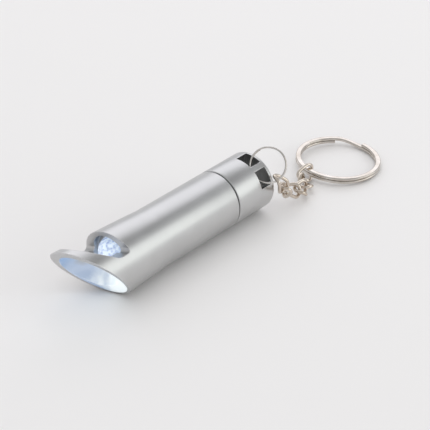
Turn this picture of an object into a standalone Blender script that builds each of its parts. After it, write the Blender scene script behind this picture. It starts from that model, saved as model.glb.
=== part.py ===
"""A keychain torch whose bell-shaped head is a bottle opener, lying on a surface with its key ring.

The torch is built along its own axis: X runs from the mouth to the tail with zero at the seam
between body and cap, Z points out through the opener's window, and one empty lays it down.
Lengths are in millimetres in the constants and functions below, and in metres in the meshes.
"""

import math

import bpy
from mathutils import Matrix, Vector

MM = 0.001
ROUND_STEPS = 40

# How the torch lies: the bell is wider than the tail, and the window is rolled to the far side.
TILT = math.radians(0.78)
ROLL = math.radians(-20.6)

# Head and body tube, one turned piece.
BODY_RADIUS = 7.0
SEAM_GAP = 0.3
FLARE_START = -22.9
BELL_END = -50.5
BELL_RADIUS = 8.2
FLARE_POWER = 0.8
FLARE_ROWS = 7
EDGE_BREAK = 0.25
BORE_RADIUS = 6.25
BORE_END = -29.6
SEAL_POCKET_RADIUS = 6.7
SEAL_POCKET_DEPTH = 1.1

# The slanted mouth, the bowl behind it, and the opener's window above the bowl.
MOUTH_CENTRE = -41.7
MOUTH_SLANT = math.radians(40.5)
BOWL_CENTRE = -43.9
BOWL_DEPTH = 7.5
BOWL_RADIUS = 6.7
BOWL_DROP = 0.5
WINDOW_BACK = -35.0
WINDOW_LEAN = math.radians(14.0)
WINDOW_FLOOR = 2.65
WINDOW_RAMP_START = -38.7
WINDOW_RAMP_CLIMB = math.radians(34.0)
WINDOW_CORNER = 0.9
WINDOW_RAMP_BLEND = 3.0

# The lamp: a diode set off the axis, level with the window, in a counterbore.
LAMP_OFFSET = 2.2
LAMP_RADIUS = 3.35
LAMP_DOME = -33.9
LAMP_BASE = -28.3
FLANGE_RADIUS = 3.75
FLANGE_THICKNESS = 1.0
LAMP_GAP = 0.1
COUNTERBORE_RADIUS = 4.3
COUNTERBORE_FRONT = -36.0
COUNTERBORE_BACK = -34.0
LEAD_SPACING = 2.54
LEAD_SIZE = 0.5
LENS_CORE_RADIUS = 2.75
LENS_CORE_END = -34.1
LEAD_FRONT = -33.2
CUP_RIM = 0.8
CUP_LIP = 0.3
CUP_DEPTH = 0.3
CUP_BACK = -32.4
ANODE_FRONT = -33.0
CHIP_FRONT = -33.7
CHIP_BACK = -33.3
CHIP_HALF = 0.3

# Inside the body: holder, contact, sleeve and three button cells.
HOLDER_FRONT = -28.0
HOLDER_BACK = -25.0
HOLDER_RADIUS = 6.1
FRONT_CONTACT_RADIUS = 5.0
CONTACT_THICKNESS = 0.4
LEAD_CLEARANCE_HALF = 0.45
GROOVE_DEPTH = 0.8
GROOVE_REACH = 0.5
LEAD_BEND_DEPTH = 0.35
LEAD_FOOT_GAP = 0.25
CELL_COUNT = 3
CELL_RADIUS = 5.8
CELL_HEIGHT = 5.3
CELL_PITCH = 5.4
CAN_EDGE = 0.3
CAN_LENGTH = 4.3
CRIMP_LENGTH = 4.6
CRIMP_DEPTH = 0.5
LID_RADIUS = 5.0
LID_FACE_RADIUS = 4.7
LID_EDGE = 0.3
CELLS_FRONT = -24.4
SLEEVE_INNER = 5.9
SLEEVE_OUTER = 6.15

# Tail cap: threaded spigot, spring chamber, and two windows that leave a post for the ring.
CAP_END = 12.7
CAP_EDGE = 0.9
SPIGOT_LENGTH = 6.0
SPIGOT_RADIUS = 5.8
SPIGOT_BORE = 4.6
CHAMBER_END = 3.0
THREAD_PITCH = 1.0
THREAD_HEIGHT = 0.3
THREAD_START = -5.6
THREAD_TURNS = 4
THREAD_ROOT_SUNK = 0.25
THREAD_HALF_SHARE = 0.38
SPIGOT_EDGE = 0.3
GROOVE_START = -1.3
GROOVE_FLOOR_START = -1.1
SEAL_RADIUS = 6.0
SEAL_SECTION = 0.4
SEAL_X = -0.55
SEAL_GROOVE = 5.45
TAIL_WINDOW_FRONT = 8.0
TAIL_WINDOW_BACK = 11.5
TAIL_WINDOW_WIDTH = 4.3
TAIL_WINDOW_FLOOR = 3.0
TAIL_WINDOW_SPREAD = math.radians(24.0)
POST_ANGLE = math.radians(54.0)

# Spring and contact in the cap.
SPRING_RADIUS = 3.6
SPRING_WIRE = 0.3
SPRING_TURNS = 5.5
SPRING_FRONT = -8.0
SPRING_BACK = 2.2
TAIL_CONTACT_RADIUS = 4.3

# Small double ring round the post: where it passes under the post, and how it leans and hangs.
SMALL_RING_RADIUS = 4.15
SMALL_RING_WIRE = 0.22
SMALL_RING_X = 9.3
SMALL_RING_DEPTH = 4.85
SMALL_RING_LEAN = math.radians(45.0)
SMALL_RING_HANG = math.radians(15.0)
SMALL_RING_LINKED_AT = math.radians(97.0)

# Curb chain: stadium links twisted by a right angle, with heading, climb and roll in degrees.
WIRE_GAP = 0.14
LINK_HALF_LENGTH = 2.7
LINK_HALF_WIDTH = 1.6
LINK_WIRE = 0.42
LINK_TWIST = math.radians(90.0)
LINK_POSES = (
    (-5, -52, 62),
    (43, -36, 59),
    (-23, -16, 26),
    (19, -13, 49),
    (46, -4, 38),
    (11, 4, 50),
)

# Double split ring: nearly flat on the surface, its linked side raised over the last link.
SPLIT_RING_RADIUS = 9.7
SPLIT_RING_WIDTH = 1.3
SPLIT_RING_COIL = 0.7
SPLIT_RING_LIFT = math.radians(3.5)
SPLIT_RING_RAISED_HEADING = math.radians(130.4)
SPLIT_RING_LINKED_AT = math.radians(40.0)
SPLIT_RING_INTO_LINK = 0.5
RING_SPLIT_AT = math.radians(250.0)
COIL_GAP = 0.06


def material(name, colour, roughness, metallic=0.0):
    made = bpy.data.materials.new(name)
    made.use_nodes = True
    shader = made.node_tree.nodes["Principled BSDF"]
    shader.inputs["Base Color"].default_value = (*colour, 1.0)
    shader.inputs["Roughness"].default_value = roughness
    shader.inputs["Metallic"].default_value = metallic
    return made


def add_object(name, points, faces, look, parent=None):
    """A mesh object from points in millimetres in its parent's frame."""
    mesh = bpy.data.meshes.new(name)
    mesh.from_pydata([Vector(point) * MM for point in points], [], faces)
    mesh.shade_smooth()
    mesh.set_sharp_from_angle(angle=math.radians(35.0))
    mesh.materials.append(look)
    made = bpy.data.objects.new(name, mesh)
    bpy.context.scene.collection.objects.link(made)
    made.parent = parent
    return made


def add_empty(name, matrix, parent=None):
    made = bpy.data.objects.new(name, None)
    bpy.context.scene.collection.objects.link(made)
    made.parent = parent
    made.matrix_local = matrix
    return made


def turned(profile, steps=ROUND_STEPS, centre_z=0.0, phase=0.0):
    """Points and faces of a closed profile of (x, radius) turned about the X direction.

    With X to the right and the radius upwards the profile runs clockwise round the solid.
    Points with radius zero become one point.
    """
    points = []
    rows = []
    for x, radius in profile:
        if radius == 0:
            rows.append([len(points)] * steps)
            points.append((x, 0.0, centre_z))
            continue
        rows.append(list(range(len(points), len(points) + steps)))
        for step in range(steps):
            angle = phase + math.tau * step / steps
            points.append((x, radius * math.sin(angle), centre_z + radius * math.cos(angle)))
    faces = []
    for row, following in zip(rows, rows[1:] + rows[:1]):
        for step in range(steps):
            after = (step + 1) % steps
            corners = [row[step], following[step], following[after], row[after]]
            corners = list(dict.fromkeys(corners))
            if len(corners) > 2:
                faces.append(corners)
    return points, faces


def swept(path, sections, closed):
    """Points and faces of one section polygon carried along a path; sections are point lists."""
    points = [point for section in sections for point in section]
    sides = len(sections[0])
    faces = []
    for place in range(len(path) if closed else len(path) - 1):
        here = place * sides
        there = (place + 1) % len(path) * sides
        for side in range(sides):
            after = (side + 1) % sides
            faces.append([here + side, here + after, there + after, there + side])
    if not closed:
        last = (len(path) - 1) * sides
        faces.append(list(range(sides))[::-1])
        faces.append([last + side for side in range(sides)])
    return points, faces


def wire(path, radius, sides=6, closed=False):
    """A round wire along a path of Vectors, with its section carried on without twisting."""
    count = len(path)
    tangents = []
    for place in range(count):
        if closed:
            step = path[(place + 1) % count] - path[place - 1]
        else:
            step = path[min(place + 1, count - 1)] - path[max(place - 1, 0)]
        tangents.append(step.normalized())
    across = tangents[0].orthogonal().normalized()
    frames = []
    for tangent in tangents:
        across = (across - tangent * across.dot(tangent)).normalized()
        frames.append((across, tangent.cross(across)))
    twist = 0.0
    if closed:
        returned = (across - tangents[0] * across.dot(tangents[0])).normalized()
        first, second = frames[0]
        twist = math.atan2(returned.dot(second), returned.dot(first))
    sections = []
    for place, (point, (first, second)) in enumerate(zip(path, frames)):
        turn = -twist * place / count
        ring = []
        for side in range(sides):
            angle = math.tau * side / sides + turn
            ring.append(point + radius * (first * math.cos(angle) + second * math.sin(angle)))
        sections.append(ring)
    return swept(path, sections, closed)


def prism(outline, half_width):
    """An outline in the XZ plane, anticlockwise with X right and Z up, extruded along Y."""
    count = len(outline)
    points = [(x, -half_width, z) for x, z in outline] + [(x, half_width, z) for x, z in outline]
    faces = [list(range(count)), [count + place for place in range(count)][::-1]]
    for place in range(count):
        after = (place + 1) % count
        faces.append([after, place, count + place, count + after])
    return points, faces


def rounded(outline, radii, steps=4):
    """The outline with each corner replaced by an arc of its radius; zero keeps it sharp."""
    made = []
    count = len(outline)
    for place, radius in enumerate(radii):
        corner = Vector(outline[place])
        if radius == 0:
            made.append(tuple(corner))
            continue
        before = (Vector(outline[place - 1]) - corner).normalized()
        after = (Vector(outline[(place + 1) % count]) - corner).normalized()
        half = before.angle(after) / 2
        centre = corner + (before + after).normalized() * radius / math.sin(half)
        start = corner + before * radius / math.tan(half) - centre
        end = corner + after * radius / math.tan(half) - centre
        for step in range(steps + 1):
            mixed = start.lerp(end, step / steps).normalized() * radius
            made.append(tuple(centre + mixed))
    return made


def box(low, high):
    points = [(x, y, z) for x in (low[0], high[0]) for y in (low[1], high[1]) for z in (low[2], high[2])]
    faces = [(0, 1, 3, 2), (4, 6, 7, 5), (0, 4, 5, 1), (2, 3, 7, 6), (0, 2, 6, 4), (1, 5, 7, 3)]
    return points, faces


def cut(target, name, shape, matrix=None):
    """Cuts a helper shape, given in the target's frame, out of the target."""
    points, faces = shape
    helper = add_object(name, points, faces, HELPER_LOOK, target.parent)
    if matrix is not None:
        helper.matrix_local = matrix
    helper.hide_render = True
    helper.display_type = "WIRE"
    boolean = target.modifiers.new(name, "BOOLEAN")
    boolean.operation = "DIFFERENCE"
    boolean.solver = "EXACT"
    boolean.object = helper


def flare_radius(x):
    """Outer radius of the body: straight, then widening towards the mouth."""
    reach = max(0.0, (FLARE_START - x) / (FLARE_START - BELL_END))
    return BODY_RADIUS + (BELL_RADIUS - BODY_RADIUS) * reach**FLARE_POWER


def head_body(torch):
    end = -SEAM_GAP / 2
    profile = [(end, SEAL_POCKET_RADIUS), (end - SEAL_POCKET_DEPTH, SEAL_POCKET_RADIUS)]
    profile += [(end - SEAL_POCKET_DEPTH - 0.4, BORE_RADIUS), (BORE_END, BORE_RADIUS)]
    profile += [(BORE_END, 0.0), (BELL_END, 0.0)]
    for row in range(FLARE_ROWS):
        x = BELL_END + (FLARE_START - BELL_END) * row / FLARE_ROWS
        profile.append((x, flare_radius(x)))
    profile += [(FLARE_START, BODY_RADIUS), (end - EDGE_BREAK, BODY_RADIUS)]
    profile += [(end, BODY_RADIUS - EDGE_BREAK / 2)]
    points, faces = turned(profile)
    body = add_object("head_body", points, faces, ALUMINIUM, torch)

    slant = Matrix.Translation((MOUTH_CENTRE * MM, 0, 0)) @ Matrix.Rotation(-MOUTH_SLANT, 4, "Y")
    cut(body, "mouth_cutter", box((-30, -15, -30), (0, 15, 30)), slant)

    bowl = [(BELL_END - 5, 0.0), (BELL_END - 5, BOWL_RADIUS)]
    bowl_rows = 7
    for row in range(bowl_rows):
        angle = math.pi / 2 * row / bowl_rows
        bowl.append((BOWL_CENTRE + BOWL_DEPTH * math.sin(angle), BOWL_RADIUS * math.cos(angle)))
    bowl.append((BOWL_CENTRE + BOWL_DEPTH, 0.0))
    cut(body, "bowl_cutter", turned(bowl, centre_z=-BOWL_DROP))

    top = 2 * BELL_RADIUS
    ramp_top = WINDOW_RAMP_START - (top - WINDOW_FLOOR) / math.tan(WINDOW_RAMP_CLIMB)
    lip = WINDOW_BACK - (top - WINDOW_FLOOR) * math.tan(WINDOW_LEAN)
    outline = [(lip, top), (ramp_top, top)]
    outline += [(WINDOW_RAMP_START, WINDOW_FLOOR), (WINDOW_BACK, WINDOW_FLOOR)]
    window = rounded(outline, [0, 0, WINDOW_RAMP_BLEND, WINDOW_CORNER])
    cut(body, "window_cutter", prism(window, top))

    bore = [(BOWL_CENTRE, 0.0), (BOWL_CENTRE, LAMP_RADIUS + LAMP_GAP)]
    bore += [(BORE_END + 1, LAMP_RADIUS + LAMP_GAP), (BORE_END + 1, 0.0)]
    cut(body, "lamp_bore_cutter", turned(bore, 24, LAMP_OFFSET))
    counterbore = [(COUNTERBORE_FRONT, 0.0), (COUNTERBORE_FRONT, COUNTERBORE_RADIUS)]
    counterbore += [(COUNTERBORE_BACK, COUNTERBORE_RADIUS), (COUNTERBORE_BACK, 0.0)]
    cut(body, "counterbore_cutter", turned(counterbore, 24, LAMP_OFFSET))
    return body


def lamp(torch):
    """The diode: its clear lens, the two leads inside it, and the chip."""
    flange_front = LAMP_BASE - FLANGE_THICKNESS
    profile = [(LAMP_BASE, LENS_CORE_RADIUS), (LENS_CORE_END, LENS_CORE_RADIUS), (LENS_CORE_END, 0.0)]
    dome_rows = 6
    for row in range(dome_rows):
        angle = math.pi / 2 * row / dome_rows
        x = LAMP_DOME - LAMP_RADIUS * math.cos(angle)
        profile.append((x, LAMP_RADIUS * math.sin(angle)))
    profile += [(LAMP_DOME, LAMP_RADIUS), (flange_front, LAMP_RADIUS)]
    profile += [(flange_front, FLANGE_RADIUS), (LAMP_BASE, FLANGE_RADIUS)]
    add_object("led_lens", *turned(profile, 24, LAMP_OFFSET), LENS, torch)

    half = LEAD_SIZE / 2
    cathode = LAMP_OFFSET - LEAD_SPACING / 2
    anode = LAMP_OFFSET + LEAD_SPACING / 2
    bend = HOLDER_FRONT + LEAD_BEND_DEPTH
    foot = -(BORE_RADIUS - LEAD_FOOT_GAP)
    outline = [(LEAD_FRONT, cathode - half), (bend - half, cathode - half), (bend - half, foot)]
    outline += [(bend + half, foot), (bend + half, cathode + half), (CUP_BACK, cathode + half)]
    outline += [(CUP_BACK, LAMP_OFFSET + LEAD_SIZE), (LEAD_FRONT, LAMP_OFFSET + CUP_RIM)]
    outline += [(LEAD_FRONT, LAMP_OFFSET + CUP_LIP), (LEAD_FRONT + CUP_DEPTH, LAMP_OFFSET)]
    outline.append((LEAD_FRONT, LAMP_OFFSET - CUP_LIP))
    add_object("led_cathode_lead", *prism(outline, half), STEEL, torch)

    reach = HOLDER_BACK - 0.1
    outline = [(ANODE_FRONT, anode - half), (reach, anode - half), (reach, anode + half)]
    outline += [(ANODE_FRONT, anode + half)]
    add_object("led_anode_lead", *prism(outline, half), STEEL, torch)

    chip_front = (CHIP_FRONT, -CHIP_HALF, LAMP_OFFSET - CHIP_HALF)
    chip_back = (CHIP_BACK, CHIP_HALF, LAMP_OFFSET + CHIP_HALF)
    add_object("led_chip", *box(chip_front, chip_back), CHIP, torch)


def holder_and_contact(torch):
    """The plastic holder behind the diode, and the contact that the first cell presses on."""
    profile = [(HOLDER_BACK, 0.0), (HOLDER_FRONT, 0.0)]
    profile += [(HOLDER_FRONT, HOLDER_RADIUS), (HOLDER_BACK, HOLDER_RADIUS)]
    holder = add_object("led_holder", *turned(profile), WHITE_PLASTIC, torch)
    cathode = LAMP_OFFSET - LEAD_SPACING / 2
    anode = LAMP_OFFSET + LEAD_SPACING / 2
    half = LEAD_CLEARANCE_HALF
    low = (HOLDER_FRONT - 1, -half, -2 * HOLDER_RADIUS)
    high = (HOLDER_FRONT + GROOVE_DEPTH, half, cathode + GROOVE_REACH)
    cut(holder, "cathode_groove_cutter", box(low, high))
    low = (HOLDER_FRONT - 1, -half, anode - half)
    high = (HOLDER_BACK + 1, half, anode + half)
    cut(holder, "anode_hole_cutter", box(low, high))

    back = CELLS_FRONT - 0.1
    front = back - CONTACT_THICKNESS
    profile = [(back, 0.0), (front, 0.0), (front, FRONT_CONTACT_RADIUS), (back, FRONT_CONTACT_RADIUS)]
    add_object("front_contact", *turned(profile), BRASS, torch)


def power(torch):
    """Insulating sleeve and the stack of button cells, positive faces to the front."""
    front = CELLS_FRONT
    back = CELLS_FRONT + CELL_COUNT * CELL_PITCH
    profile = [(back, SLEEVE_INNER), (front, SLEEVE_INNER), (front, SLEEVE_OUTER), (back, SLEEVE_OUTER)]
    add_object("battery_sleeve", *turned(profile), SLEEVE, torch)
    for number in range(CELL_COUNT):
        start = CELLS_FRONT + number * CELL_PITCH
        profile = [(start + CELL_HEIGHT, 0.0), (start, 0.0), (start, CELL_RADIUS - CAN_EDGE)]
        profile += [(start + CAN_EDGE, CELL_RADIUS), (start + CAN_LENGTH, CELL_RADIUS)]
        profile.append((start + CRIMP_LENGTH, CELL_RADIUS - CRIMP_DEPTH))
        profile.append((start + CELL_HEIGHT - LID_EDGE, LID_RADIUS))
        profile.append((start + CELL_HEIGHT, LID_FACE_RADIUS))
        add_object(f"button_cell_{number + 1}", *turned(profile), STEEL, torch)


def thread_path():
    steps = 20 * THREAD_TURNS
    path = []
    for step in range(steps + 1):
        angle = math.tau * THREAD_TURNS * step / steps
        x = THREAD_START + THREAD_PITCH * THREAD_TURNS * step / steps
        path.append((x, angle))
    return path


def thread():
    """A right-handed helical ridge of triangular section, sunk a little into the spigot."""
    sections = []
    path = thread_path()
    root = SPIGOT_RADIUS - THREAD_ROOT_SUNK
    crest = SPIGOT_RADIUS + THREAD_HEIGHT
    half = THREAD_HALF_SHARE * THREAD_PITCH
    for x, angle in path:
        section = []
        for shift, radius in ((half, root), (0.0, crest), (-half, root)):
            section.append((x + shift, -radius * math.sin(angle), radius * math.cos(angle)))
        sections.append(section)
    return swept(path, sections, False)


def tail_cap(torch):
    start = SEAM_GAP / 2
    edge = CAP_EDGE
    profile = [(CHAMBER_END, 0.0), (CHAMBER_END, SPIGOT_BORE), (-SPIGOT_LENGTH, SPIGOT_BORE)]
    profile.append((-SPIGOT_LENGTH, SPIGOT_RADIUS - SPIGOT_EDGE))
    profile += [(-SPIGOT_LENGTH + SPIGOT_EDGE, SPIGOT_RADIUS), (GROOVE_START, SPIGOT_RADIUS)]
    profile += [(GROOVE_FLOOR_START, SEAL_GROOVE), (start, SEAL_GROOVE)]
    profile += [(start, BODY_RADIUS - EDGE_BREAK), (start + EDGE_BREAK, BODY_RADIUS)]
    edge_rows = 3
    for row in range(edge_rows + 1):
        angle = math.pi / 2 * row / edge_rows
        x = CAP_END - edge + edge * math.sin(angle)
        profile.append((x, BODY_RADIUS - edge + edge * math.cos(angle)))
    profile.append((CAP_END, 0.0))
    cap = add_object("tail_cap", *turned(profile), ALUMINIUM, torch)

    ridge_points, ridge_faces = thread()
    ridge = add_object("thread_ridge", ridge_points, ridge_faces, HELPER_LOOK, torch)
    ridge.hide_render = True
    ridge.display_type = "WIRE"
    joined = cap.modifiers.new("thread_ridge", "BOOLEAN")
    joined.operation = "UNION"
    joined.solver = "EXACT"
    joined.object = ridge

    for side, name in ((-1, "upper"), (1, "lower")):
        half = TAIL_WINDOW_WIDTH / 2
        low = (TAIL_WINDOW_FRONT, -half, TAIL_WINDOW_FLOOR)
        high = (TAIL_WINDOW_BACK, half, 2 * BODY_RADIUS)
        angle = POST_ANGLE + side * TAIL_WINDOW_SPREAD
        cut(cap, f"{name}_window_cutter", box(low, high), Matrix.Rotation(angle, 4, "X"))
    return cap


def seal(torch):
    path = []
    steps = 32
    for step in range(steps):
        angle = math.tau * step / steps
        path.append(Vector((SEAL_X, SEAL_RADIUS * math.sin(angle), SEAL_RADIUS * math.cos(angle))))
    add_object("seam_o_ring", *wire(path, SEAL_SECTION, 8, True), RUBBER, torch)


def spring_and_contact(torch):
    front = SPRING_BACK + 0.1
    profile = [(front + CONTACT_THICKNESS, 0.0), (front, 0.0), (front, TAIL_CONTACT_RADIUS)]
    profile += [(front + CONTACT_THICKNESS, TAIL_CONTACT_RADIUS)]
    add_object("tail_contact", *turned(profile), BRASS, torch)
    path = []
    steps = int(16 * SPRING_TURNS)
    first = SPRING_FRONT + SPRING_WIRE
    length = SPRING_BACK - SPRING_FRONT - 2 * SPRING_WIRE
    for step in range(steps + 1):
        angle = math.tau * SPRING_TURNS * step / steps
        x = first + length * step / steps
        path.append(Vector((x, SPRING_RADIUS * math.sin(angle), SPRING_RADIUS * math.cos(angle))))
    add_object("tail_spring", *wire(path, SPRING_WIRE), STEEL, torch)


def double_coil(radius, rise, start_angle, steps):
    """Centre line of a split ring: nearly two turns in the XY plane, stepping up once between.

    Yields the angle and the point; rise is the height between the two turns.
    """
    spare = 0.06
    for step in range(steps + 1):
        turn = spare + (2 - 2 * spare) * step / steps
        climb = min(1.0, max(0.0, (turn - 1 + spare * 0.8) / (spare * 1.6)))
        angle = start_angle + math.tau * turn
        height = rise * (climb - 0.5)
        yield angle, Vector((radius * math.cos(angle), radius * math.sin(angle), height))


def axes_matrix(origin, x_axis, y_axis):
    """A frame at an origin in millimetres from its X direction and a direction near its Y."""
    x_axis = x_axis.normalized()
    z_axis = x_axis.cross(y_axis).normalized()
    y_axis = z_axis.cross(x_axis)
    turn = Matrix((x_axis, y_axis, z_axis)).transposed().to_4x4()
    return Matrix.Translation(origin * MM) @ turn


def small_ring(torch, lay):
    """The ring through the tail windows. Returns its object, its frame, and its linked point."""
    out = Vector((0, -math.sin(POST_ANGLE), math.cos(POST_ANGLE)))
    along_post = Vector((1, 0, 0))
    across_post = Vector((0, -math.cos(POST_ANGLE), -math.sin(POST_ANGLE)))
    under_post = along_post * SMALL_RING_X + out * SMALL_RING_DEPTH
    lean = out * math.cos(SMALL_RING_LEAN) + along_post * math.sin(SMALL_RING_LEAN)
    towards_centre = lean * math.cos(SMALL_RING_HANG) + across_post * math.sin(SMALL_RING_HANG)
    sideways = across_post * math.cos(SMALL_RING_HANG) - lean * math.sin(SMALL_RING_HANG)
    hinge_frame = axes_matrix(under_post, across_post, lean)
    hinge = add_empty("small_ring_hinge", hinge_frame, torch)
    centre = under_post + towards_centre * SMALL_RING_RADIUS
    ring_frame = axes_matrix(centre, -towards_centre, sideways)
    path = []
    rise = 2 * SMALL_RING_WIRE + COIL_GAP
    for _, point in double_coil(SMALL_RING_RADIUS, rise, RING_SPLIT_AT, 60):
        path.append(point)
    ring = add_object("small_ring", *wire(path, SMALL_RING_WIRE), NICKEL, hinge)
    ring.matrix_local = hinge_frame.inverted() @ ring_frame
    world = lay @ ring_frame
    angle = SMALL_RING_LINKED_AT
    at_ring = Vector((math.cos(angle), math.sin(angle), 0)) * SMALL_RING_RADIUS * MM
    tangent = Vector((-math.sin(angle), math.cos(angle), 0))
    return ring, world, (world @ at_ring) / MM, world.to_3x3() @ tangent


def link_path():
    """Centre line of a curb link along X, twisted evenly about its own length."""
    straight = LINK_HALF_LENGTH - LINK_HALF_WIDTH
    outline = []
    arc_steps = 6
    for end in (1, -1):
        for step in range(arc_steps + 1):
            angle = math.pi * (step / arc_steps - 0.5)
            along = end * (straight + LINK_HALF_WIDTH * math.cos(angle))
            outline.append((along, end * LINK_HALF_WIDTH * math.sin(angle)))
        outline.append((end * straight / 3, end * LINK_HALF_WIDTH))
        outline.append((-end * straight / 3, end * LINK_HALF_WIDTH))
    path = []
    for along, across in outline:
        twist = LINK_TWIST / 2 * along / LINK_HALF_LENGTH
        path.append(Vector((along, across * math.cos(twist), across * math.sin(twist))))
    return path


def link_frame(heading, climb, roll):
    """Rotation whose X runs along the link and whose Y is the width at its middle."""
    x_axis = Vector(
        (
            math.cos(climb) * math.cos(heading),
            math.cos(climb) * math.sin(heading),
            math.sin(climb),
        )
    )
    level = Vector((-math.sin(heading), math.cos(heading), 0))
    upward = x_axis.cross(level)
    return x_axis, level * math.cos(roll) + upward * math.sin(roll)


def chain(ring, ring_world, joint, axis):
    """Six links, each on a hinge round the wire that it hangs from."""
    mesh = None
    carrier, carrier_world = ring, ring_world
    reach_back = LINK_WIRE + 2 * SMALL_RING_WIRE + COIL_GAP / 2 + WIRE_GAP
    for number, pose in enumerate(LINK_POSES, 1):
        heading, climb, roll = (math.radians(angle) for angle in pose)
        along, width = link_frame(heading, climb, roll)
        hinge_world = axes_matrix(joint, axis, along)
        hinge = add_empty(f"chain_link_{number}_hinge", Matrix.Identity(4), carrier)
        hinge.matrix_local = carrier_world.inverted() @ hinge_world
        centre = joint + along * (LINK_HALF_LENGTH - reach_back)
        link_world = axes_matrix(centre, along, width)
        if mesh is None:
            link = add_object("chain_link_1", *wire(link_path(), LINK_WIRE, 6, True), NICKEL, hinge)
            mesh = link.data
        else:
            link = bpy.data.objects.new(f"chain_link_{number}", mesh)
            bpy.context.scene.collection.objects.link(link)
            link.parent = hinge
        link.matrix_local = hinge_world.inverted() @ link_world
        joint = centre + along * LINK_HALF_LENGTH
        half = LINK_TWIST / 2
        axis = link_world.to_3x3() @ Vector((0, math.cos(half), math.sin(half)))
        carrier, carrier_world = link, link_world
        reach_back = 2 * LINK_WIRE + WIRE_GAP
    return carrier, carrier_world, joint, axis, along


def split_ring(link, link_world, joint, axis, along):
    """The key ring, threaded through the last link."""
    raised = Vector(
        (
            math.cos(SPLIT_RING_RAISED_HEADING) * math.cos(SPLIT_RING_LIFT),
            math.sin(SPLIT_RING_RAISED_HEADING) * math.cos(SPLIT_RING_LIFT),
            math.sin(SPLIT_RING_LIFT),
        )
    )
    level = Vector((-math.sin(SPLIT_RING_RAISED_HEADING), math.cos(SPLIT_RING_RAISED_HEADING), 0))
    angle = SPLIT_RING_LINKED_AT
    outward = raised * math.cos(angle) + level * math.sin(angle)
    reach = SPLIT_RING_WIDTH / 2 + LINK_WIRE + SPLIT_RING_INTO_LINK
    wire_at = joint - along * reach
    centre = wire_at - outward * SPLIT_RING_RADIUS
    ring_world = axes_matrix(centre, raised, level)
    hinge_world = axes_matrix(joint, axis, along)
    hinge = add_empty("split_ring_hinge", link_world.inverted() @ hinge_world, link)
    path = []
    sections = []
    rise = SPLIT_RING_COIL + COIL_GAP
    half_width = SPLIT_RING_WIDTH / 2
    half_height = SPLIT_RING_COIL / 2
    corner = 0.25
    outline = []
    for across, up in ((1, 1), (1, -1), (-1, -1), (-1, 1)):
        first = (across * half_width, up * (half_height - corner))
        second = (across * (half_width - corner), up * half_height)
        outline += [second, first] if across * up > 0 else [first, second]
    for angle, point in double_coil(SPLIT_RING_RADIUS, rise, RING_SPLIT_AT, 84):
        out = Vector((math.cos(angle), math.sin(angle), 0))
        path.append(point)
        sections.append([point + out * across + Vector((0, 0, up)) for across, up in outline])
    ring = add_object("split_ring", *swept(path, sections, False), NICKEL, hinge)
    ring.matrix_local = hinge_world.inverted() @ ring_world
    return ring


def stand_on_origin(whole):
    """Moves everything so that the origin is under the middle of the box around the solids."""
    bpy.context.view_layer.update()
    graph = bpy.context.evaluated_depsgraph_get()
    low = Vector((math.inf,) * 3)
    high = Vector((-math.inf,) * 3)
    for solid in bpy.context.scene.objects:
        if solid.type != "MESH" or solid.hide_render:
            continue
        shape = solid.evaluated_get(graph).to_mesh()
        for vertex in shape.vertices:
            point = solid.matrix_world @ vertex.co
            low = Vector(map(min, low, point))
            high = Vector(map(max, high, point))
    middle = (low + high) / 2
    whole.location = (-middle.x, -middle.y, -low.z)


def main():
    for old in list(bpy.data.objects):
        bpy.data.objects.remove(old, do_unlink=True)
    whole = add_empty("whole", Matrix.Identity(4))
    lay = Matrix.Rotation(TILT, 4, "Y") @ Matrix.Rotation(ROLL, 4, "X")
    torch = add_empty("torch_axis", lay, whole)
    head_body(torch)
    lamp(torch)
    holder_and_contact(torch)
    power(torch)
    tail_cap(torch)
    seal(torch)
    spring_and_contact(torch)
    last_link = chain(*small_ring(torch, lay))
    split_ring(*last_link)
    stand_on_origin(whole)


HELPER_LOOK = material("helper", (0.8, 0.2, 0.2), 0.5)
ALUMINIUM = material("satin_aluminium", (0.62, 0.62, 0.63), 0.34, 1.0)
STEEL = material("bright_steel", (0.66, 0.64, 0.6), 0.2, 1.0)
LENS = material("clear_lens", (0.9, 0.94, 1.0), 0.08)
CHIP = material("lamp_chip", (0.95, 0.85, 0.3), 0.5)
WHITE_PLASTIC = material("white_plastic", (0.85, 0.85, 0.83), 0.4)
BRASS = material("brass", (0.75, 0.6, 0.3), 0.3, 1.0)
SLEEVE = material("clear_sleeve", (0.7, 0.75, 0.72), 0.3)
NICKEL = material("bright_nickel", (0.72, 0.69, 0.63), 0.18, 1.0)
RUBBER = material("rubber", (0.03, 0.03, 0.03), 0.7)
main()
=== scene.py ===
"""Looks for the keychain opener torch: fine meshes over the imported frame, finishes and studio.

The torch's pieces are drawn in its own axes, in millimetres: X runs from the mouth to the tail with
zero at the seam, and Z points out through the opener's window. TORCH lays those axes down in the
frame, in metres.
"""

import math

import bpy
from mathutils import Matrix, Vector


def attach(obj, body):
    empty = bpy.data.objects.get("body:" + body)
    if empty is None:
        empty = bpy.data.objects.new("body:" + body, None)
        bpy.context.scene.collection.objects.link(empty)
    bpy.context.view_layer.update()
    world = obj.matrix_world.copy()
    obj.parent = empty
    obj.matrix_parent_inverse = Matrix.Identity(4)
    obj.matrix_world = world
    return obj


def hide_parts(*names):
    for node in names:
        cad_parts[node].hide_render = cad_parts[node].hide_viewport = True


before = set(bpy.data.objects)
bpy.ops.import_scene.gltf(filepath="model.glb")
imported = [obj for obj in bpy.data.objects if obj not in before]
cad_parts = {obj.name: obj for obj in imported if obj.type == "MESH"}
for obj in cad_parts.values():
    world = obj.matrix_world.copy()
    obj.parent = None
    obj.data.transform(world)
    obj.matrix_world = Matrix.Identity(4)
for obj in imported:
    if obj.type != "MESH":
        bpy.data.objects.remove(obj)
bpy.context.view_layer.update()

MM = 0.001
TILT = math.radians(0.78)
ROLL = math.radians(-20.6)
SEAM_AT = Vector((-0.00113763, 0.00334435, 0.00720659))
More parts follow.
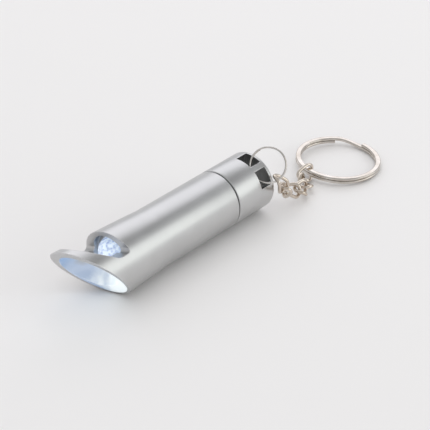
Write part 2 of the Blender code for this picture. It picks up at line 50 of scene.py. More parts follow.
TORCH = Matrix.Translation(SEAM_AT) @ Matrix.Rotation(TILT, 4, "Y") @ Matrix.Rotation(ROLL, 4, "X")


# ---------------------------------------------------------------- finishes


class Value:
    """A number socket in a finish. Sums and products of values add their Math nodes."""

    def __init__(self, finish, socket):
        self.finish = finish
        self.socket = socket

    def _math(self, operation, first, second=None, clamp=False):
        sockets = {0: first} if second is None else {0: first, 1: second}
        settings = {"operation": operation, "use_clamp": clamp}
        return self.finish.node("ShaderNodeMath", settings, sockets)

    def __add__(self, other):
        return self._math("ADD", self, other)

    def __radd__(self, other):
        return self._math("ADD", other, self)

    def __sub__(self, other):
        return self._math("SUBTRACT", self, other)

    def __rsub__(self, other):
        return self._math("SUBTRACT", other, self)

    def __mul__(self, other):
        return self._math("MULTIPLY", self, other)

    def __rmul__(self, other):
        return self._math("MULTIPLY", other, self)

    def __truediv__(self, other):
        return self._math("DIVIDE", self, other)

    def __pow__(self, other):
        return self._math("POWER", self, other)

    def clamped(self):
        return self._math("ADD", self, 0.0, clamp=True)


class Finish:
    """A material round one Principled shader; node() adds every node it has."""

    def __init__(self, name, colour, roughness, metallic=0.0, **fixed):
        self.material = bpy.data.materials.new(name)
        self.material.use_nodes = True
        self.tree = self.material.node_tree
        self.shader = self.tree.nodes["Principled BSDF"]
        self.shader.inputs["Base Color"].default_value = (*colour, 1.0)
        self.shader.inputs["Roughness"].default_value = roughness
        self.shader.inputs["Metallic"].default_value = metallic
        for socket, value in fixed.items():
            self.shader.inputs[socket.replace("_", " ")].default_value = value

    def node(self, kind, settings=None, sockets=None, output=0):
        made = self.tree.nodes.new(kind)
        for name, value in (settings or {}).items():
            setattr(made, name, value)
        for name, value in (sockets or {}).items():
            if isinstance(value, Value):
                self.tree.links.new(value.socket, made.inputs[name])
            else:
                made.inputs[name].default_value = value
        return Value(self, made.outputs[output])

    def feed(self, socket, value):
        self.tree.links.new(value.socket, self.shader.inputs[socket])

    def place(self):
        return self.node("ShaderNodeTexCoord", output="Object")

    def vectors(self, operation, first, second):
        settings = {"operation": operation}
        return self.node("ShaderNodeVectorMath", settings, {0: first, 1: second})

    def stretched(self, place, scale):
        return self.vectors("MULTIPLY", place, scale)

    def dot(self, first, second):
        settings = {"operation": "DOT_PRODUCT"}
        return self.node("ShaderNodeVectorMath", settings, {0: first, 1: second}, output="Value")

    def length(self, vector):
        settings = {"operation": "LENGTH"}
        return self.node("ShaderNodeVectorMath", settings, {0: vector}, output="Value")

    def noise(self, place, scale, detail=2.0, roughness=0.5):
        sockets = {"Vector": place, "Scale": scale, "Detail": detail, "Roughness": roughness}
        return self.node("ShaderNodeTexNoise", {}, sockets)

    def blend(self, share, first, second):
        """A colour from first to second."""
        settings = {"data_type": "RGBA", "clamp_factor": True}
        sockets = {0: share, 6: first, 7: second}
        return self.node("ShaderNodeMix", settings, sockets, output=2)

    def soft_normal(self, radius):
        return self.node("ShaderNodeBevel", {"samples": 6}, {"Radius": radius})

    def edge(self, radius, gain):
        """One along corners, zero on open faces; it masks the painted highlight along edges."""
        true = self.node("ShaderNodeNewGeometry", output="Normal")
        facing = self.dot(self.soft_normal(radius), true)
        return ((1.0 - facing) * gain).clamped()

    def bump(self, height, distance, strength, rounding=None):
        sockets = {"Height": height, "Distance": distance, "Strength": strength}
        if rounding is not None:
            sockets["Normal"] = self.soft_normal(rounding)
        self.feed("Normal", self.node("ShaderNodeBump", {}, sockets))


def grey(level, warmth=0.0):
    return (level * (1 + warmth), level, level * (1 - warmth), 1.0)


def satin_aluminium(name, rounding):
    """Blasted and clear-anodised: lathe lines round the axis, soft clouding and a painted highlight
    along the corners.
    """
    made = Finish(name, (0.6, 0.6, 0.61), 0.3, 1.0)
    place = made.place()
    lathe = made.noise(made.stretched(place, (16000.0, 160.0, 160.0)), 1.0, 3.0)
    blast = made.noise(place, 9000.0, 2.0)
    cloud = made.noise(place, 170.0, 3.0)
    painted_edge_highlight = made.edge(0.35 * MM, 4.0)
    base = made.blend(cloud, grey(0.52), grey(0.61))
    # Painted highlight: the base colour is brightened towards near white along corners.
    made.feed("Base Color", made.blend(painted_edge_highlight * 0.7, base, grey(0.86)))
    made.feed("Roughness", 0.27 + 0.06 * lathe + 0.06 * cloud - 0.08 * painted_edge_highlight)
    made.bump(lathe * 0.6 + blast * 0.4, 0.004 * MM, 0.25, rounding)
    return made


def lamplit_bowl(made, bowl_centre, bowl_radius, lamp_at):
    """The bowl scatters the lamp's light: bluish at one side, near white where the beam strikes."""
    place = made.place()
    from_axis = made.vectors("SUBTRACT", place, bowl_centre)
    out = made.length(made.stretched(from_axis, (0.0, 1.0, 1.0)))
    margin = 0.04 * MM
    inside = ((bowl_radius + margin - out) / margin).clamped()
    from_lamp = made.vectors("SUBTRACT", place, lamp_at)
    ahead = made.dot(from_lamp, (-1.0, 0.0, 0.0))
    below = made.dot(from_lamp, TORCH.to_3x3() @ Vector((0, 0, -1)))
    before_lamp = ((ahead - 2.0 * MM) / (2.0 * MM)).clamped()
    under_window = ((below - 0.3 * MM) / (1.5 * MM)).clamped()
    in_bowl = (before_lamp + under_window).clamped()
    fade = ((20.0 * MM - made.length(from_lamp)) / (8.0 * MM)).clamped()
    aside = made.dot(from_lamp, (0.0, -1.0, 0.0))
    ripples = made.noise(place, 420.0, 2.0)
    spot = (0.5 + aside / (6.0 * MM) + 1.6 * (ripples - 0.5)).clamped()
    dark, scattered, direct = (0.0, 0.0, 0.0, 1.0), (0.05, 0.13, 0.27, 1.0), (0.56, 0.62, 0.64, 1.0)
    lit = made.blend(spot, scattered, direct)
    made.feed("Emission Color", made.blend(inside * in_bowl * fade, dark, lit))
    made.shader.inputs["Emission Strength"].default_value = 1.0


def bright_plate(name, level, warmth, roughness):
    """Bright nickel plate: faint haze, hairline rubbing and a little tarnish."""
    made = Finish(name, (level, level, level), roughness, 1.0)
    place = made.place()
    haze = made.noise(place, 900.0, 3.0)
    rubbing = made.noise(made.stretched(place, (3000.0, 3000.0, 21000.0)), 1.0, 2.0)
    tarnish = ((made.noise(place, 260.0, 4.0, 0.6) - 0.3) / 0.4).clamped()
    base = made.blend(tarnish, grey(level, warmth), grey(level * 0.7, warmth * 1.8))
    made.feed("Base Color", base)
    made.feed("Roughness", roughness - 0.03 + 0.07 * haze)
    made.bump(rubbing, 0.003 * MM, 0.2)
    return made.material


def drawn_metal(name, colour, darker, roughness):
    """Stamped or drawn inner metal, with rolling lines and a slight stain."""
    made = Finish(name, colour, roughness, 1.0)
    place = made.place()
    lines = made.noise(made.stretched(place, (1500.0, 15000.0, 1500.0)), 1.0, 2.0)
    stain = made.noise(place, 400.0, 4.0)
    made.feed("Base Color", made.blend(stain, (*colour, 1.0), (*darker, 1.0)))
    made.feed("Roughness", roughness + 0.1 * lines)
    made.bump(lines, 0.003 * MM, 0.3)
    return made.material


def moulded(name, colour, darker, roughness, **fixed):
    """Moulded plastic or rubber with a fine orange-peel skin."""
    made = Finish(name, colour, roughness, **fixed)
    place = made.place()
    skin = made.noise(place, 5000.0, 3.0)
    shade = made.noise(place, 350.0, 2.0)
    made.feed("Base Color", made.blend(shade, (*colour, 1.0), (*darker, 1.0)))
    made.feed("Roughness", roughness + 0.08 * skin)
    made.bump(skin, 0.01 * MM, 0.3)
    return made.material


def lit_lens(name, centre, radius):
    """Clear epoxy lit from within: blue-white, brightest near the chip, cooler towards its rim."""
    made = Finish(name, (0.9, 0.94, 1.0), 0.08, Coat_Weight=0.6, Emission_Strength=1.0)
    place = made.place()
    from_axis = made.vectors("SUBTRACT", place, centre)
    out = made.length(made.stretched(from_axis, (0.0, 1.0 / radius, 1.0 / radius)))
    streaks = made.noise(made.stretched(place, (300.0, 2200.0, 2200.0)), 1.0, 2.0)
    facets = made.noise(place, 1400.0, 1.0)
    glow = (0.95 - 0.35 * out + 2.4 * (facets - 0.5) + 0.5 * (streaks - 0.5)).clamped()
    made.feed("Base Color", made.blend(glow, (0.3, 0.36, 0.5, 1.0), (0.5, 0.52, 0.55, 1.0)))
    made.feed("Emission Color", made.blend(glow, (0.12, 0.18, 0.34, 1.0), (0.5, 0.6, 0.72, 1.0)))
    made.bump(made.noise(place, 1500.0), 0.004 * MM, 0.1)
    return made.material


# ---------------------------------------------------------------- meshes


def add_piece(name, points, faces, look, matrix=None, smooth=35.0):
    mesh = bpy.data.meshes.new(name)
    mesh.from_pydata([Vector(point) * MM for point in points], [], faces)
    if matrix is not None:
        mesh.transform(matrix)
    mesh.shade_smooth()
    mesh.set_sharp_from_angle(angle=math.radians(smooth))
    mesh.materials.append(look)
    made = bpy.data.objects.new(name, mesh)
    bpy.context.scene.collection.objects.link(made)
    return made


def settle(piece, body, node):
    """The piece rides on a body and hides the node it stands in for."""
    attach(piece, body)
    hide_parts(node)


def turned(profile, steps, centre_z=0.0):
    """A closed profile of (x, radius) turned about X; it runs clockwise with the radius upwards."""
    points = []
    rows = []
    for x, radius in profile:
        if radius == 0:
            rows.append([len(points)] * steps)
            points.append((x, 0.0, centre_z))
            continue
        rows.append(list(range(len(points), len(points) + steps)))
        for step in range(steps):
            angle = math.tau * step / steps
            points.append((x, radius * math.sin(angle), centre_z + radius * math.cos(angle)))
    faces = []
    for row, following in zip(rows, rows[1:] + rows[:1]):
        for step in range(steps):
            after = (step + 1) % steps
            corners = [row[step], following[step], following[after], row[after]]
            corners = list(dict.fromkeys(corners))
            if len(corners) > 2:
                faces.append(corners)
    return points, faces


def swept(sections, closed):
    """One section polygon carried along; sections are lists of points."""
    points = [point for section in sections for point in section]
    sides = len(sections[0])
    count = len(sections)
    faces = []
    for place in range(count if closed else count - 1):
        here = place * sides
        there = (place + 1) % count * sides
        for side in range(sides):
            after = (side + 1) % sides
            faces.append([here + side, here + after, there + after, there + side])
    if not closed:
        last = (count - 1) * sides
        faces.append(list(range(sides))[::-1])
        faces.append([last + side for side in range(sides)])
    return points, faces


def wire(path, radius, sides=14, closed=False):
    """A round wire along a path of Vectors, its section carried on without twisting."""
    count = len(path)
    tangents = []
    for place in range(count):
        if closed:
            step = path[(place + 1) % count] - path[place - 1]
        else:
            step = path[min(place + 1, count - 1)] - path[max(place - 1, 0)]
        tangents.append(step.normalized())
    across = tangents[0].orthogonal().normalized()
    frames = []
    for tangent in tangents:
        across = (across - tangent * across.dot(tangent)).normalized()
        frames.append((across, tangent.cross(across)))
    twist = 0.0
    if closed:
        returned = (across - tangents[0] * across.dot(tangents[0])).normalized()
        first, second = frames[0]
        twist = math.atan2(returned.dot(second), returned.dot(first))
    sections = []
    for place, (point, (first, second)) in enumerate(zip(path, frames)):
        turn = -twist * place / count
        ring = []
        for side in range(sides):
            angle = math.tau * side / sides + turn
            ring.append(point + radius * (first * math.cos(angle) + second * math.sin(angle)))
        sections.append(ring)
    return swept(sections, closed)


def arc(centre_x, centre_r, radius, start, end, steps):
    """Profile points from one angle to another, in degrees from +X towards the outside."""
    made = []
    for step in range(steps + 1):
        angle = math.radians(start + (end - start) * step / steps)
        made.append((centre_x + radius * math.cos(angle), centre_r + radius * math.sin(angle)))
    return made


def prism(outline, half_width):
    """An outline in the XZ plane, anticlockwise, extruded along Y."""
    count = len(outline)
    points = [(x, -half_width, z) for x, z in outline] + [(x, half_width, z) for x, z in outline]
    faces = [list(range(count)), [count + place for place in range(count)][::-1]]
    for place in range(count):
        after = (place + 1) % count
        faces.append([after, place, count + place, count + after])
    return points, faces


def rounded(outline, radii, steps=10):
    """The outline with corners replaced by arcs; zero keeps a corner sharp."""
    made = []
    count = len(outline)
    for place, radius in enumerate(radii):
        corner = Vector(outline[place])
        if radius == 0:
            made.append(tuple(corner))
            continue
        before = (Vector(outline[place - 1]) - corner).normalized()
        after = (Vector(outline[(place + 1) % count]) - corner).normalized()
        half = before.angle(after) / 2
        centre = corner + (before + after).normalized() * radius / math.sin(half)
        start = corner + before * radius / math.tan(half) - centre
        end = corner + after * radius / math.tan(half) - centre
        for step in range(steps + 1):
            mixed = start.lerp(end, step / steps).normalized() * radius
            made.append(tuple(centre + mixed))
    return made


def slab(low, high):
    xs, ys, zs = zip(low, high)
    points = [(x, y, z) for x in xs for y in ys for z in zs]
    faces = [(0, 1, 3, 2), (4, 6, 7, 5), (0, 4, 5, 1), (2, 3, 7, 6), (0, 2, 6, 4), (1, 5, 7, 3)]
    return points, faces


def carve(piece, cutters, operation="DIFFERENCE"):
    """Cuts the shapes from the piece, or joins them to it, and keeps the result as its mesh."""
    helpers = []
    for points, faces, matrix in cutters:
        helper = add_piece("helper", points, faces, piece.data.materials[0], TORCH @ matrix)
        boolean = piece.modifiers.new("carve", "BOOLEAN")
        boolean.operation = operation
        boolean.solver = "EXACT"
        boolean.object = helper
        helpers.append(helper)
    bpy.context.view_layer.update()
    graph = bpy.context.evaluated_depsgraph_get()
    made = bpy.data.meshes.new_from_object(piece.evaluated_get(graph))
    piece.modifiers.clear()
    piece.data = made
    for helper in helpers:
        bpy.data.objects.remove(helper, do_unlink=True)
    made.shade_smooth()
    made.set_sharp_from_angle(angle=math.radians(32.0))


# ---------------------------------------------------------------- head

BODY_RADIUS = 7.0
HEAD_END = -0.15
FLARE_START = -22.9
BELL_END = -50.5
BELL_RADIUS = 8.2
FLARE_POWER = 0.8
BORE_RADIUS = 6.25
BORE_END = -29.6
SEAL_POCKET_RADIUS = 6.7
MOUTH_CENTRE = -41.7
MOUTH_SLANT = math.radians(40.5)
BOWL_CENTRE = -43.9
BOWL_DEPTH = 7.5
BOWL_RADIUS = 6.7
BOWL_DROP = 0.5
WINDOW_BACK = -35.0
WINDOW_LEAN = math.radians(14.0)
WINDOW_FLOOR = 2.65
WINDOW_RAMP_START = -38.7
WINDOW_RAMP_CLIMB = math.radians(34.0)
WINDOW_RAMP_BLEND = 3.0
WINDOW_CORNER = 0.9
LAMP_OFFSET = 2.2
LAMP_RADIUS = 3.35
LAMP_DOME = -33.9
LAMP_BASE = -28.3
LAMP_BORE_RADIUS = 3.45
LAMP_BORE_END = -28.6
FLANGE_FRONT = -29.3
FLANGE_RADIUS = 3.75
LENS_CORE_RADIUS = 2.75
LENS_CORE_END = -34.1
COUNTERBORE_RADIUS = 4.3
COUNTERBORE_FRONT = -36.0
COUNTERBORE_BACK = -34.0
STILL = Matrix.Identity(4)


def flare_radius(x):
    reach = max(0.0, (FLARE_START - x) / (FLARE_START - BELL_END))
    return BODY_RADIUS + (BELL_RADIUS - BODY_RADIUS) * reach**FLARE_POWER


def hole(front, back, radius):
    """The profile of a round cutter on an axis along X."""
    return [(front, 0.0), (front, radius), (back, radius), (back, 0.0)]


def head(look):
    profile = [(HEAD_END, SEAL_POCKET_RADIUS), (HEAD_END - 1.1, SEAL_POCKET_RADIUS)]
    profile += [(HEAD_END - 1.5, BORE_RADIUS), (BORE_END, BORE_RADIUS)]
    profile += [(BORE_END, 0.0), (BELL_END, 0.0)]
    rows = 40
    for row in range(rows):
        x = BELL_END + (FLARE_START - BELL_END) * row / rows
        profile.append((x, flare_radius(x)))
    profile.append((FLARE_START, BODY_RADIUS))
    rim = 0.2
    profile += arc(HEAD_END - rim, BODY_RADIUS - rim, rim, 90, 0, 4)
    piece = add_piece("head_shell", *turned(profile, 144), look, TORCH)

    slant = Matrix.Translation((MOUTH_CENTRE * MM, 0, 0)) @ Matrix.Rotation(-MOUTH_SLANT, 4, "Y")
    bowl = [(BELL_END - 5, 0.0), (BELL_END - 5, BOWL_RADIUS)]
    rows = 28
    for row in range(rows):
        angle = math.pi / 2 * row / rows
        x = BOWL_CENTRE + BOWL_DEPTH * math.sin(angle)
        bowl.append((x, BOWL_RADIUS * math.cos(angle)))
    bowl.append((BOWL_CENTRE + BOWL_DEPTH, 0.0))
    top = 2 * BELL_RADIUS
    rise = top - WINDOW_FLOOR
    ramp_top = WINDOW_RAMP_START - rise / math.tan(WINDOW_RAMP_CLIMB)
    outline = [(WINDOW_BACK - rise * math.tan(WINDOW_LEAN), top), (ramp_top, top)]
    outline += [(WINDOW_RAMP_START, WINDOW_FLOOR), (WINDOW_BACK, WINDOW_FLOOR)]
    window = rounded(outline, [0, 0, WINDOW_RAMP_BLEND, WINDOW_CORNER])
    lamp_bore = hole(BOWL_CENTRE, LAMP_BORE_END, LAMP_BORE_RADIUS)
    counterbore = hole(COUNTERBORE_FRONT, COUNTERBORE_BACK, COUNTERBORE_RADIUS)
    cutters = [
        (*slab((-30, -15, -30), (0, 15, 30)), slant),
        (*turned(bowl, 112, -BOWL_DROP), STILL),
        (*prism(window, top), STILL),
        (*turned(lamp_bore, 64, LAMP_OFFSET), STILL),
        (*turned(counterbore, 64, LAMP_OFFSET), STILL),
    ]
    carve(piece, cutters)
    settle(piece, "torch", "head_body")


def lens(look):
    """Dome, barrel and flange of the lamp, open at the back round its leads."""
    profile = [(LAMP_BASE, LENS_CORE_RADIUS), (LENS_CORE_END, LENS_CORE_RADIUS)]
    profile.append((LENS_CORE_END, 0.0))
    rows = 24
    for row in range(rows + 1):
        angle = math.pi / 2 * row / rows
        x = LAMP_DOME - LAMP_RADIUS * math.cos(angle)
        profile.append((x, LAMP_RADIUS * math.sin(angle)))
    profile += [(FLANGE_FRONT, LAMP_RADIUS), (FLANGE_FRONT, FLANGE_RADIUS)]
    profile.append((LAMP_BASE, FLANGE_RADIUS))
    piece = add_piece("lamp_dome", *turned(profile, 72, LAMP_OFFSET), look, TORCH)
    settle(piece, "torch", "led_lens")


# ---------------------------------------------------------------- tail cap


SPIGOT_END = -6.0
SPIGOT_RADIUS = 5.8
SPRING_WELL_RADIUS = 4.6
SPRING_WELL_END = 3.0
SEAL_GROOVE_RADIUS = 5.45
CAP_START = 0.15
CAP_END = 12.7
CAP_TAIL_ROUND = 0.9
THREAD_START = -5.6
THREAD_TURNS = 4
THREAD_PITCH = 1.0
THREAD_ROOT = 5.55
THREAD_HEIGHT = 0.3
TAIL_WINDOW_FRONT = 8.0
TAIL_WINDOW_BACK = 11.5
TAIL_WINDOW_FLOOR = 3.0
TAIL_WINDOW_HALF = 2.15
TAIL_WINDOW_SPREAD = math.radians(24.0)
POST_ANGLE = math.radians(54.0)


def cap(look):
    profile = [(SPRING_WELL_END, 0.0), (SPRING_WELL_END, SPRING_WELL_RADIUS)]
    profile += [(SPIGOT_END, SPRING_WELL_RADIUS), (SPIGOT_END, SPIGOT_RADIUS - 0.3)]
    profile += [(SPIGOT_END + 0.3, SPIGOT_RADIUS), (-1.3, SPIGOT_RADIUS)]
    profile += [(-1.1, SEAL_GROOVE_RADIUS), (CAP_START, SEAL_GROOVE_RADIUS)]
    rim = 0.25
    profile += arc(CAP_START + rim, BODY_RADIUS - rim, rim, 180, 90, 5)
    tail = CAP_TAIL_ROUND
    profile += arc(CAP_END - tail, BODY_RADIUS - tail, tail, 90, 0, 10)
    profile.append((CAP_END, 0.0))
    piece = add_piece("cap_shell", *turned(profile, 144), look, TORCH)
    carve(piece, [(*thread(), STILL)], "UNION")
    low = (TAIL_WINDOW_FRONT, -TAIL_WINDOW_HALF, TAIL_WINDOW_FLOOR)
    high = (TAIL_WINDOW_BACK, TAIL_WINDOW_HALF, 2 * BODY_RADIUS)
    cutters = []
    for side in (-1, 1):
        turn = Matrix.Rotation(POST_ANGLE + side * TAIL_WINDOW_SPREAD, 4, "X")
        cutters.append((*slab(low, high), turn))
    carve(piece, cutters)
    settle(piece, "tail", "tail_cap")


def thread():
    """A right-handed ridge round the spigot that dies away at both ends."""
    steps = 48 * THREAD_TURNS
    run_out = 20
    sections = []
    for step in range(steps + 1):
        angle = math.tau * THREAD_TURNS * step / steps
        fade = min(1.0, step / run_out, (steps - step) / run_out)
        crest = SPIGOT_RADIUS + THREAD_HEIGHT * fade
        middle = THREAD_START + THREAD_PITCH * THREAD_TURNS * step / steps
        section = []
        ridge = ((0.38, THREAD_ROOT), (0.06, crest), (-0.06, crest), (-0.38, THREAD_ROOT))
        for shift, radius in ridge:
            section.append((middle + shift, -radius * math.sin(angle), radius * math.cos(angle)))
        sections.append(section)
    return swept(sections, False)


def spring(look):
    turns = 5.5
    front, length = -7.7, 9.6
    radius = 3.6
    steps = int(40 * turns)
    path = []
    for step in range(steps + 1):
        angle = math.tau * turns * step / steps
        x = front + length * step / steps
        path.append(Vector((x, radius * math.sin(angle), radius * math.cos(angle))))
    piece = add_piece("battery_spring", *wire(path, 0.3, 12), look, TORCH)
    settle(piece, "tail_slider", "tail_spring")


def seal(look):
    middle, radius = -0.55, 6.0
    steps = 96
    path = []
    for step in range(steps):
        angle = math.tau * step / steps
        path.append(Vector((middle, radius * math.sin(angle), radius * math.cos(angle))))
    piece = add_piece("seam_seal", *wire(path, 0.4, 14, True), look, TORCH)
    settle(piece, "tail", "seam_o_ring")


# ---------------------------------------------------------------- rings and chain

RING_SPLIT_AT = math.radians(250.0)
SMALL_RING_RADIUS = 4.15
SMALL_RING_WIRE = 0.22
SMALL_RING_AT = 9.3
SMALL_RING_DEPTH = 4.85
SMALL_RING_LEAN = math.radians(45)
SMALL_RING_HANG = math.radians(15)
SMALL_RING_LINKED_AT = math.radians(97)
LINK_HALF_LENGTH = 2.7
LINK_HALF_WIDTH = 1.6
LINK_WIRE = 0.42
LINK_TWIST = math.radians(90.0)
LINK_PLAY = 0.14
LINK_POSES = (
    (-5, -52, 62),
    (43, -36, 59),
    (-23, -16, 26),
    (19, -13, 49),
    (46, -4, 38),
    (11, 4, 50),
)
KEY_RING_RADIUS = 9.7
KEY_RING_HALF_WIDTH = 0.65
KEY_RING_HALF_HEIGHT = 0.35
KEY_RING_CORNER = 0.3
KEY_RING_HEADING = math.radians(130.4)
KEY_RING_LIFT = math.radians(3.5)
KEY_RING_LINKED_AT = math.radians(40.0)
KEY_RING_INTO_LINK = 0.5


def double_coil(radius, rise, steps):
    """Angles and centre line of a split ring: nearly two turns, stepping up once between them."""
    spare = 0.06
    for step in range(steps + 1):
        turn = spare + (2 - 2 * spare) * step / steps
        climb = min(1.0, max(0.0, (turn - 1 + spare * 0.8) / (spare * 1.6)))
        climb = climb * climb * (3 - 2 * climb)
        angle = RING_SPLIT_AT + math.tau * turn
        height = rise * (climb - 0.5)
        yield angle, Vector((radius * math.cos(angle), radius * math.sin(angle), height))


def axes_matrix(origin, x_axis, y_axis):
    x_axis = x_axis.normalized()
    z_axis = x_axis.cross(y_axis).normalized()
    y_axis = z_axis.cross(x_axis)
    turn = Matrix((x_axis, y_axis, z_axis)).transposed().to_4x4()
    return Matrix.Translation(origin * MM) @ turn


def small_ring(look):
    """The ring through the tail windows; it returns the point where the chain hangs from it."""
    out = Vector((0, -math.sin(POST_ANGLE), math.cos(POST_ANGLE)))
    along = Vector((1, 0, 0))
    across = Vector((0, -math.cos(POST_ANGLE), -math.sin(POST_ANGLE)))
    lean = out * math.cos(SMALL_RING_LEAN) + along * math.sin(SMALL_RING_LEAN)
    inward = lean * math.cos(SMALL_RING_HANG) + across * math.sin(SMALL_RING_HANG)
    sideways = across * math.cos(SMALL_RING_HANG) - lean * math.sin(SMALL_RING_HANG)
    centre = along * SMALL_RING_AT + out * SMALL_RING_DEPTH + inward * SMALL_RING_RADIUS
    lay = TORCH @ axes_matrix(centre, -inward, sideways)
    path = [point for _, point in double_coil(SMALL_RING_RADIUS, 0.5, 260)]
    piece = add_piece("tail_ring", *wire(path, SMALL_RING_WIRE, 12), look, lay)
    settle(piece, "small_ring", "small_ring")
    linked = SMALL_RING_LINKED_AT
    at_ring = Vector((math.cos(linked), math.sin(linked), 0)) * SMALL_RING_RADIUS * MM
    return lay @ at_ring / MM


def link_path():
    """Centre line of a curb link along X, twisted evenly about its own length."""
    straight = LINK_HALF_LENGTH - LINK_HALF_WIDTH
    outline = []
    for end in (1, -1):
        for step in range(17):
            angle = math.pi * (step / 16 - 0.5)
            along = end * (straight + LINK_HALF_WIDTH * math.cos(angle))
            outline.append((along, end * LINK_HALF_WIDTH * math.sin(angle)))
        for share in (0.6, 0.2, -0.2, -0.6):
            outline.append((end * straight * share, end * LINK_HALF_WIDTH))
    path = []
    for along, across in outline:
        twist = LINK_TWIST / 2 * along / LINK_HALF_LENGTH
        path.append(Vector((along, across * math.cos(twist), across * math.sin(twist))))
    return path


def chain(joint, look):
    """The links, each hooked into the one before; it returns the last joint and its direction."""
    reach_back = LINK_WIRE + 2 * SMALL_RING_WIRE + 0.03 + LINK_PLAY
    for number, pose in enumerate(LINK_POSES, 1):
        heading, climb, roll = (math.radians(angle) for angle in pose)
        flat = math.cos(climb)
        along = Vector((flat * math.cos(heading), flat * math.sin(heading), math.sin(climb)))
        level = Vector((-math.sin(heading), math.cos(heading), 0))
        width = level * math.cos(roll) + along.cross(level) * math.sin(roll)
        centre = joint + along * (LINK_HALF_LENGTH - reach_back)
        shape = wire(link_path(), LINK_WIRE, 16, True)
        node = f"chain_link_{number}"
        piece = add_piece(f"curb_link_{number}", *shape, look, axes_matrix(centre, along, width))
        settle(piece, node, node)
        joint = centre + along * LINK_HALF_LENGTH
        reach_back = 2 * LINK_WIRE + LINK_PLAY
    return joint, along


def key_ring(joint, along, look):
    """Two flat turns with rolled edges, nearly level, its linked side raised over the last link."""
    heading, lift, linked = KEY_RING_HEADING, KEY_RING_LIFT, KEY_RING_LINKED_AT
    flat = math.cos(lift)
    raised = Vector((math.cos(heading) * flat, math.sin(heading) * flat, math.sin(lift)))
    level = Vector((-math.sin(heading), math.cos(heading), 0))
    outward = raised * math.cos(linked) + level * math.sin(linked)
    into_link = KEY_RING_HALF_WIDTH + LINK_WIRE + KEY_RING_INTO_LINK
    centre = joint - along * into_link - outward * KEY_RING_RADIUS
    corner = KEY_RING_CORNER
    corner_across, corner_up = KEY_RING_HALF_WIDTH - corner, KEY_RING_HALF_HEIGHT - corner
    outline = []
    for across, up, start in ((1, 1, 90), (1, -1, 0), (-1, -1, 270), (-1, 1, 180)):
        for step in range(6):
            angle = math.radians(start - 90 * step / 5)
            x = across * corner_across + corner * math.cos(angle)
            outline.append((x, up * corner_up + corner * math.sin(angle)))
    sections = []
    for angle, point in double_coil(KEY_RING_RADIUS, 0.76, 300):
        out = Vector((math.cos(angle), math.sin(angle), 0))
        sections.append([point + out * across + Vector((0, 0, up)) for across, up in outline])
    lay = axes_matrix(centre, raised, level)
    piece = add_piece("key_ring", *swept(sections, False), look, lay)
    settle(piece, "split_ring", "split_ring")


# ---------------------------------------------------------------- stage


def sheet(width, depth):
    """A flat rectangle, its sides in metres."""
    x, y = width / 2 / MM, depth / 2 / MM
    return [(-x, -y, 0), (x, -y, 0), (x, y, 0), (-x, y, 0)], [(0, 1, 2, 3)]


def floor():
    made = Finish("paper_floor", (0.87, 0.855, 0.85), 0.7)
    tooth = made.noise(made.place(), 900.0, 3.0)
    made.bump(tooth, 0.02 * MM, 0.1)
    add_piece("floor", *sheet(3.0, 3.0), made.material)


def softbox(name, at, size, power, aim=(0.0, 0.0, 0.0), colour=(1.0, 1.0, 1.0)):
    light = bpy.data.lights.new(name, "AREA")
    light.shape = "RECTANGLE"
    light.size, light.size_y = size
    light.energy = power
    light.color = colour
    made = bpy.data.objects.new(name, light)
    bpy.context.scene.collection.objects.link(made)
    made.location = at
    made.rotation_euler = (Vector(at) - Vector(aim)).to_track_quat("Z", "Y").to_euler()
    return made


def dark_card(name, at, size, level):
    """A grey card that only reflections see: a gap in the roof of the light tent."""
    made = Finish(name, (level, level, level), 0.9)
    turn = Vector(at).to_track_quat("Z", "Y").to_matrix().to_4x4()
    card = add_piece(name, *sheet(*size), made.material, Matrix.Translation(at) @ turn)
    card.visible_camera = False
    card.visible_diffuse = False
    card.visible_shadow = False
    card.visible_transmission = False


def camera():
    back = Vector((-0.64653, -0.55076, 0.52788)).normalized()
    right = Vector((0, 0, 1)).cross(back).normalized()
    up = back.cross(right)
    data = bpy.data.cameras.new("camera")
    data.sensor_width = 36.0
    data.lens = 164.344
    made = bpy.data.objects.new("camera", data)
    bpy.context.scene.collection.objects.link(made)
    at = Vector((-0.292628, -0.248736, 0.234546)) + SEAM_AT
    turn = Matrix((right, up, back)).transposed().to_4x4()
    made.matrix_world = Matrix.Translation(at) @ turn
    bpy.context.scene.camera = made


def studio():
    world = bpy.data.worlds.new("studio")
    world.use_nodes = True
    sky = world.node_tree.nodes["Background"]
    sky.inputs["Color"].default_value = (0.97, 0.985, 1.0, 1.0)
    sky.inputs["Strength"].default_value = 0.6
    bpy.context.scene.world = world
    softbox("rear", (0.5, 0.44, 0.44), (0.9, 0.5), 1.3, colour=(0.96, 0.95, 1.0))
    softbox("front", (0.42, -0.66, 0.3), (0.8, 0.5), 1.3, colour=(0.97, 1.0, 0.96))
    dark_card("tent_roof", (0.1, -0.035, 0.16), (0.1, 0.05), 0.38)
    tip, ahead = on_lamp_axis(-37.6), on_lamp_axis(-60.0)
    softbox("lamp_beam", tip, (0.0024, 0.0024), 0.0003, ahead, (0.8, 0.9, 1.0))
    fill = softbox("floor_fill", (0.0, 0.0, 1.2), (1.6, 1.6), 5.4, colour=(1.0, 0.98, 0.97))
    fill.visible_glossy = False
    bpy.context.scene.view_settings.view_transform = "Standard"


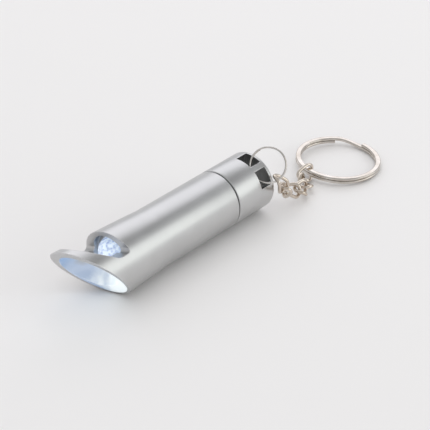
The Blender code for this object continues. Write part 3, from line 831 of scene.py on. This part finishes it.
def dress(nodes, look):
    """Inner pieces keep their solids and only take a finish."""
    for node in nodes:
        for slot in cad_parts[node].material_slots:
            slot.material = look


def on_lamp_axis(x):
    return TORCH @ Vector((x * MM, 0, LAMP_OFFSET * MM))


body_metal = satin_aluminium("satin_body", 0.22 * MM)
cap_metal = satin_aluminium("satin_cap", 0.12 * MM)
bowl_middle = TORCH @ Vector((-45 * MM, 0, -BOWL_DROP * MM))
lamplit_bowl(body_metal, bowl_middle, BOWL_RADIUS * MM, on_lamp_axis(-37.2))
head(body_metal.material)
lens(lit_lens("lit_lens", on_lamp_axis(-36.0), LAMP_RADIUS * MM))
cap(cap_metal.material)
spring(drawn_metal("spring_wire", (0.6, 0.6, 0.6), (0.45, 0.45, 0.46), 0.25))
seal(moulded("black_seal", (0.03, 0.03, 0.03), (0.02, 0.02, 0.02), 0.6))
hang_from = small_ring(bright_plate("small_ring_plate", 0.74, 0.04, 0.1))
hang_from, last_along = chain(hang_from, bright_plate("chain_plate", 0.69, 0.1, 0.1))
key_ring(hang_from, last_along, bright_plate("key_ring_plate", 0.7, 0.06, 0.09))
lead_tin = drawn_metal("lead_tin", (0.66, 0.64, 0.6), (0.5, 0.5, 0.48), 0.25)
dress(["led_cathode_lead", "led_anode_lead"], lead_tin)
cell_can = drawn_metal("cell_can", (0.68, 0.66, 0.62), (0.55, 0.54, 0.5), 0.2)
dress(["button_cell_1", "button_cell_2", "button_cell_3"], cell_can)
brass = drawn_metal("contact_brass", (0.78, 0.6, 0.28), (0.6, 0.44, 0.2), 0.28)
dress(["front_contact", "tail_contact"], brass)
dress(["led_chip"], moulded("phosphor", (0.95, 0.85, 0.3), (0.9, 0.75, 0.2), 0.5))
dress(["led_holder"], moulded("holder_plastic", (0.85, 0.85, 0.83), (0.8, 0.8, 0.78), 0.4))
film = moulded("sleeve_film", (0.72, 0.76, 0.73), (0.66, 0.7, 0.68), 0.25, Coat_Weight=0.4)
dress(["battery_sleeve"], film)
floor()
studio()
camera()
